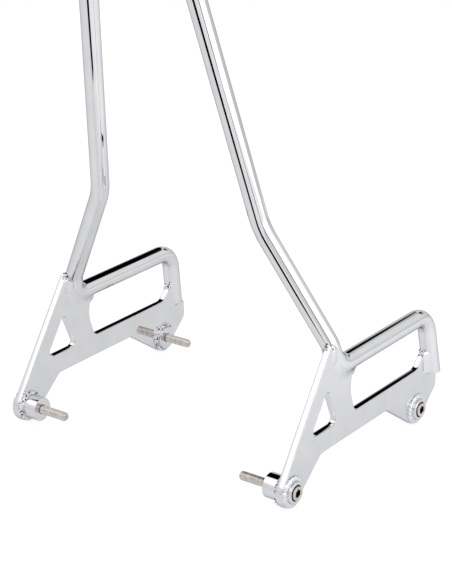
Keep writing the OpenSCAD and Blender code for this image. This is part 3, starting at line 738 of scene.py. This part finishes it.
def paperMaterial():
    # white background paper: part of its own white, part lit, so that shadows stay on it; mirrors see it darker,
    # with a painted pool of light that brightens it towards the side card, and see its soft sheen
    material = bpy.data.materials.new("whitePaper")
    material.use_nodes = True
    tree = material.node_tree
    tree.nodes.remove(tree.nodes["Principled BSDF"])
    path = addNode(tree, "ShaderNodeLightPath").outputs["Is Glossy Ray"]
    place = addNode(tree, "ShaderNodeSeparateXYZ", {0: addNode(tree, "ShaderNodeNewGeometry").outputs["Position"]})
    (start, end), (low, high) = studio["mirroredX"], studio["mirroredGlow"]
    # painted light: the glow that mirrors see rises from low to high towards the side card, a painted pool of its
    # light
    paintedCardLight = addNode(tree, "ShaderNodeMapRange",
                     {"Value": place.outputs["X"], "From Min": start, "From Max": end, "To Min": low, "To Max": high},
                     interpolation_type="SMOOTHSTEP").outputs["Result"]
    glow = addNode(tree, "ShaderNodeMix", {"Factor": path, 2: studio["floorGlow"], 3: paintedCardLight}, data_type="FLOAT")
    matt = addNode(tree, "ShaderNodeBsdfDiffuse", {"Color": hexColor("#8F8F90")})
    own = addNode(tree, "ShaderNodeEmission", {"Color": hexColor("#FFFFFF"), "Strength": glow.outputs[0]})
    plain = addNode(tree, "ShaderNodeAddShader", {0: matt.outputs["BSDF"], 1: own.outputs["Emission"]})
    sheen = addNode(tree, "ShaderNodeBsdfAnisotropic", {"Color": hexColor("#FFFFFF"), "Roughness": 0.12})
    share = addNode(tree, "ShaderNodeMath", {0: path, 1: studio["floorSheen"]}, operation="MULTIPLY")
    both = addNode(tree, "ShaderNodeMixShader",
                   {0: share.outputs[0], 1: plain.outputs["Shader"], 2: sheen.outputs["BSDF"]})
    tree.links.new(both.outputs["Shader"], tree.nodes["Material Output"].inputs["Surface"])
    return material


def makeStudio():
    # a round floor, a bright card with a black frame at its side, and dark patches of floor for mirrors alone
    angle = np.linspace(0, 2 * math.pi, studio["floorSides"], endpoint=False)
    r, low = studio["floorRadius"], -studio["floorDrop"]
    disc = np.stack([r * np.cos(angle), r * np.sin(angle), np.full(len(angle), low)], -1)
    makeSheet("floorPaper", disc.tolist(), paperMaterial(), hidden=False)
    x, (y0, y1), top, w = studio["cardX"], studio["cardY"], studio["cardHeight"], studio["frameWidth"]
    makeSheet("sideCard", [(x, y0, 0), (x, y1, 0), (x, y1, top), (x, y0, top)],
              glowMaterial("softboxCloth", "#FFFFFF", studio["cardGlow"]))
    makeSheet("cardFrame", [(x, y0 - w, 0), (x, y0, 0), (x, y0, top), (x, y0 - w, top)],
              glowMaterial("blackFrame", "#000000", 0.0))
    (g, h), (a, b), (near, far) = studio["gapX"], studio["gapY"], np.array(studio["gapWidth"]) / 2
    slant, lift = studio["gapSlant"], studio["sheetLift"]
    makeSheet("paperGap", [(g - near, a - slant, lift), (g + near, a, lift), (h + far, b, lift), (h - far, b, lift)],
              glowMaterial("darkGap", "#000000", 0.0))
    (x0, y0), (x1, y1), w = studio["footStart"], studio["footEnd"], studio["footWidth"]
    makeSheet("cardFoot", [(x0, y0, lift), (x0, y0 - w, lift), (x1, y1 - w, lift), (x1, y1, lift)],
              glowMaterial("greyFoot", "#707070", 1.0))


# The room that mirrors see, in degrees: azimuths from the part's front round by its right, heights from level.
# A pair gives the two ends of a soft edge and falls where its first number is the larger
room = {"behindLine": (0.8, 44.7), "behindLevel": 39.0, "behindEdge": (-2.0, 5.0), "behindLeft": (-92.0, -84.0),
        "behindRight": (22.0, 9.0), "behindTop": (80.0, 72.0), "ceiling": (64.0, 68.0), "standPlace": 143.0,
        "standHalf": (9.0, 6.0), "standFoot": (4.0, 8.0), "standTop": (32.0, 28.0), "slotLeft": (150.0, 153.0),
        "slotRight": (172.0, 169.0), "slotFoot": (36.0, 40.0), "stripBend": 28.0, "stripSlant": (0.8, 1.6),
        "stripLeft": (-13.0, -7.0), "stripRight": (19.0, 12.0), "stripFoot": (12.0, 28.0),
        "lampHeight": (26.0, 34.0), "lampRight": (95.0, 110.0), "lampLeft": (-92.0, -100.0), "lampGlow": 0.6,
        "wallHeight": (-6.0, 20.0), "wallGlow": (0.8, 1.04), "wallShare": 0.78}


def makeWorld():
    # camera rays see plain white and soft light is even; mirrors see a pale room, darker low down and brighter by
    # its lamps, with dark shapes in it
    world = bpy.data.worlds.new("studioRoom")
    scene.world = world
    world.use_nodes = True
    tree = world.node_tree
    tree.nodes.clear()
    way = addNode(tree, "ShaderNodeTexCoord").outputs["Generated"]
    axis = addNode(tree, "ShaderNodeSeparateXYZ", {0: way})

    def combine(operation, *values):
        # one value worked out of several, from left to right
        def pair(a, b):
            return addNode(tree, "ShaderNodeMath", {0: a, 1: b}, operation=operation).outputs[0]

        return reduce(pair, values)

    def within(*edges):
        # the product of soft edges, each a value and the pair of places between which it rises from 0 to 1
        rises = [addNode(tree, "ShaderNodeMapRange", {"Value": value, "From Min": start, "From Max": end},
                         interpolation_type="SMOOTHSTEP") for value, (start, end) in edges]
        return combine("MULTIPLY", *(rise.outputs["Result"] for rise in rises))

    degrees = 180 / math.pi
    azimuth = combine("MULTIPLY", combine("ARCTAN2", axis.outputs["X"], axis.outputs["Y"]), degrees)
    height = combine("MULTIPLY", combine("ARCSINE", axis.outputs["Z"], 0.0), degrees)
    # the dark gap behind the part lies over a slanted line, height = 0.8 azimuth + 44.7, that levels off at 39
    slant, start = room["behindLine"]
    line = combine("MINIMUM", combine("ADD", combine("MULTIPLY", azimuth, slant), start), room["behindLevel"])
    behind = within((combine("SUBTRACT", height, line), room["behindEdge"]), (azimuth, room["behindLeft"]),
                    (azimuth, room["behindRight"]), (height, room["behindTop"]))
    # the camera and its stand, a small dark shape where the camera is
    fromStand = combine("ABSOLUTE", combine("SUBTRACT", azimuth, room["standPlace"]), 0.0)
    stand = within((fromStand, room["standHalf"]), (height, room["standFoot"]), (height, room["standTop"]))
    slot = within((azimuth, room["slotLeft"]), (azimuth, room["slotRight"]), (height, room["slotFoot"]))
    # a narrow dark strip, seen thinning round the front bends: its sides are upright as far as its bend and
    # lean towards each other above it
    over = combine("MAXIMUM", combine("SUBTRACT", height, room["stripBend"]), 0.0)
    left = combine("SUBTRACT", azimuth, combine("MULTIPLY", over, room["stripSlant"][0]))
    right = combine("ADD", azimuth, combine("MULTIPLY", over, room["stripSlant"][1]))
    strip = within((left, room["stripLeft"]), (right, room["stripRight"]), (height, room["stripFoot"]))
    dark = combine("MAXIMUM", behind, strip, within((height, room["ceiling"])), slot, stand)
    sides = combine("MAXIMUM", within((azimuth, room["lampRight"])), within((azimuth, room["lampLeft"])))
    lamps = combine("MULTIPLY", within((height, room["lampHeight"])), sides, room["lampGlow"])
    (low, high), (dim, full) = room["wallHeight"], room["wallGlow"]
    wall = addNode(tree, "ShaderNodeMapRange", {"Value": height, "From Min": low, "From Max": high,
                                                "To Min": dim, "To Max": full}).outputs["Result"]
    bright = combine("MULTIPLY", combine("ADD", wall, lamps), room["wallShare"])
    glossy = combine("MULTIPLY", bright, combine("SUBTRACT", 1.0, dark))
    path = addNode(tree, "ShaderNodeLightPath")
    mirrorRay = combine("MAXIMUM", path.outputs["Is Glossy Ray"], path.outputs["Is Transmission Ray"])
    even = addNode(tree, "ShaderNodeMix", {"Factor": mirrorRay, 2: 1.0, 3: glossy}, data_type="FLOAT")
    back = addNode(tree, "ShaderNodeBackground", {"Color": (1, 1, 1, 1), "Strength": even.outputs[0]})
    out = addNode(tree, "ShaderNodeOutputWorld")
    tree.links.new(back.outputs[0], out.inputs["Surface"])


# The camera's place in metres, the ways that its picture's right, down and depth run, and its lens in millimetres
view = {"place": (0.8588, -1.1224, 0.6735), "right": (0.799273, 0.600722, -0.01719),
        "down": (0.20682, -0.30181, -0.930664), "ahead": (-0.564258, 0.7403, -0.36547), "sensor": 36.0,
        "lens": 140.18, "clip": (0.01, 50.0)}


def makeCamera():
    # matched to the photograph: its own place and turn, no shift
    camera = bpy.data.objects.new("photoCamera", bpy.data.cameras.new("photoCamera"))
    scene.collection.objects.link(camera)
    turn = Matrix((view["right"], [-v for v in view["down"]], [-v for v in view["ahead"]])).transposed()
    camera.matrix_world = Matrix.Translation(view["place"]) @ turn.to_4x4()
    lens = camera.data
    lens.sensor_fit, lens.sensor_width, lens.lens = "HORIZONTAL", view["sensor"], view["lens"]
    lens.clip_start, lens.clip_end = view["clip"]
    scene.camera = camera


makeStudio()
makeWorld()
makeCamera()
scene.view_settings.view_transform = "Standard"
print("studio and camera made")
